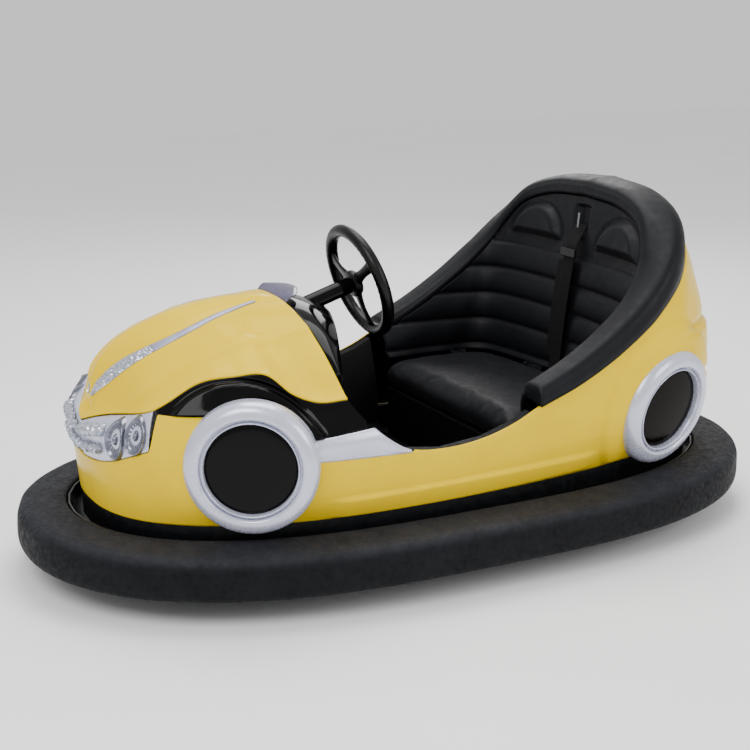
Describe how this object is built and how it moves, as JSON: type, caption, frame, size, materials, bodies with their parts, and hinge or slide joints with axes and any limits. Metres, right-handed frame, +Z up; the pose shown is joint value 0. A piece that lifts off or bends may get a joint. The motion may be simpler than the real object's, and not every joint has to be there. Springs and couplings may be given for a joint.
{
  "type": "fairground bumper car",
  "caption": "Low oval fairground bumper car with a rubber ring bumper, moulded open body, padded bucket seat and a steered, swivelling drive wheel.",
  "frame": {"origin": "on the floor, under the middle of the rubber bumper's plan", "axes": "+Z up, the nose points to -Y, the driver's left is +X"},
  "size_m": [1.09, 1.95, 0.8569],
  "materials": {
    "bumper_rubber": "dusty matt rubber",
    "black_steel": "satin black paint",
    "yellow_gelcoat": "high gloss gelcoat",
    "black_gloss": "gloss black gelcoat",
    "silver_paint": "silver paint under lacquer",
    "dark_disc": "near-black glossy disc",
    "lamp_chrome": "bright plated reflector",
    "lamp_lens": "clear faceted lens",
    "smoked_acrylic": "smoked violet-grey acrylic",
    "seat_vinyl": "grained black vinyl",
    "webbing": "woven black webbing",
    "wheel_rubber": "worn solid rubber",
    "machine_grey": "cast and machined grey metal",
    "grip": "black moulded grip"
  },
  "bodies": {
    "car_body": {"rubber_bumper": "bumper_rubber", "bumper_rim": "black_steel", "chassis_deck": "black_steel", "body_plinth": "black_steel", "body_shell": "yellow_gelcoat", "bonnet": "yellow_gelcoat", "headlamp_band": "lamp_chrome", "headlamp_left": "lamp_lens", "headlamp_right": "lamp_lens", "bonnet_lamp_left": "lamp_chrome", "bonnet_lamp_right": "lamp_chrome", "wheel_arch_panel_left": "black_gloss", "wheel_arch_panel_right": "black_gloss", "silver_sill_panel_left": "silver_paint", "silver_sill_panel_right": "silver_paint", "dashboard": "black_gloss", "wind_deflector": "smoked_acrylic", "cockpit_tub": "black_gloss", "seat_base": "black_gloss", "battery_pack": "black_steel", "seat_cushion": "seat_vinyl", "seat_back": "seat_vinyl", "seat_bolster": "seat_vinyl", "seat_belt": "webbing", "steering_column": "black_gloss", "swivel_bearing": "machine_grey", "rear_axle_left": "black_steel", "rear_axle_right": "black_steel", "accelerator_pedal": "black_steel", "wheel_trim_front_left": "silver_paint", "wheel_disc_front_left": "dark_disc", "wheel_trim_front_right": "silver_paint", "wheel_disc_front_right": "dark_disc", "wheel_trim_rear_left": "silver_paint", "wheel_disc_rear_left": "dark_disc", "wheel_trim_rear_right": "silver_paint", "wheel_disc_rear_right": "dark_disc"},
    "steering": {"steering_wheel": "grip", "steering_shaft": "machine_grey"},
    "drive_unit": {"drive_frame": "black_steel", "drive_motor": "machine_grey"},
    "drive_wheel": {"drive_hub": "machine_grey", "drive_tyre": "wheel_rubber"},
    "rear_wheel_left": {"rear_left_hub": "machine_grey", "rear_left_tyre": "wheel_rubber"},
    "rear_wheel_right": {"rear_right_hub": "machine_grey", "rear_right_tyre": "wheel_rubber"}
  },
  "joints": [
    {"name": "steering_turn", "type": "hinge", "parent": "car_body", "child": "steering", "pos_m": [0, -0.109, 0.6445], "axis": [0, 0.9537, 0.3007], "range_deg": [-180, 180]},
    {"name": "drive_swivel", "type": "hinge", "parent": "car_body", "child": "drive_unit", "pos_m": [0, -0.5, 0.1], "axis": [0, 0, 1], "range_deg": [-180, 180]},
    {"name": "drive_wheel_spin", "type": "hinge", "parent": "drive_unit", "child": "drive_wheel", "pos_m": [0, -0.5, 0.1], "axis": [1, 0, 0], "continuous": true},
    {"name": "rear_wheel_left_spin", "type": "hinge", "parent": "car_body", "child": "rear_wheel_left", "pos_m": [0.215, 0.585, 0.1], "axis": [1, 0, 0], "continuous": true},
    {"name": "rear_wheel_right_spin", "type": "hinge", "parent": "car_body", "child": "rear_wheel_right", "pos_m": [-0.215, 0.585, 0.1], "axis": [1, 0, 0], "continuous": true}
  ],
  "couplings": [
    {"joint": "drive_swivel", "follows": "steering_turn", "ratio": 1}
  ]
}
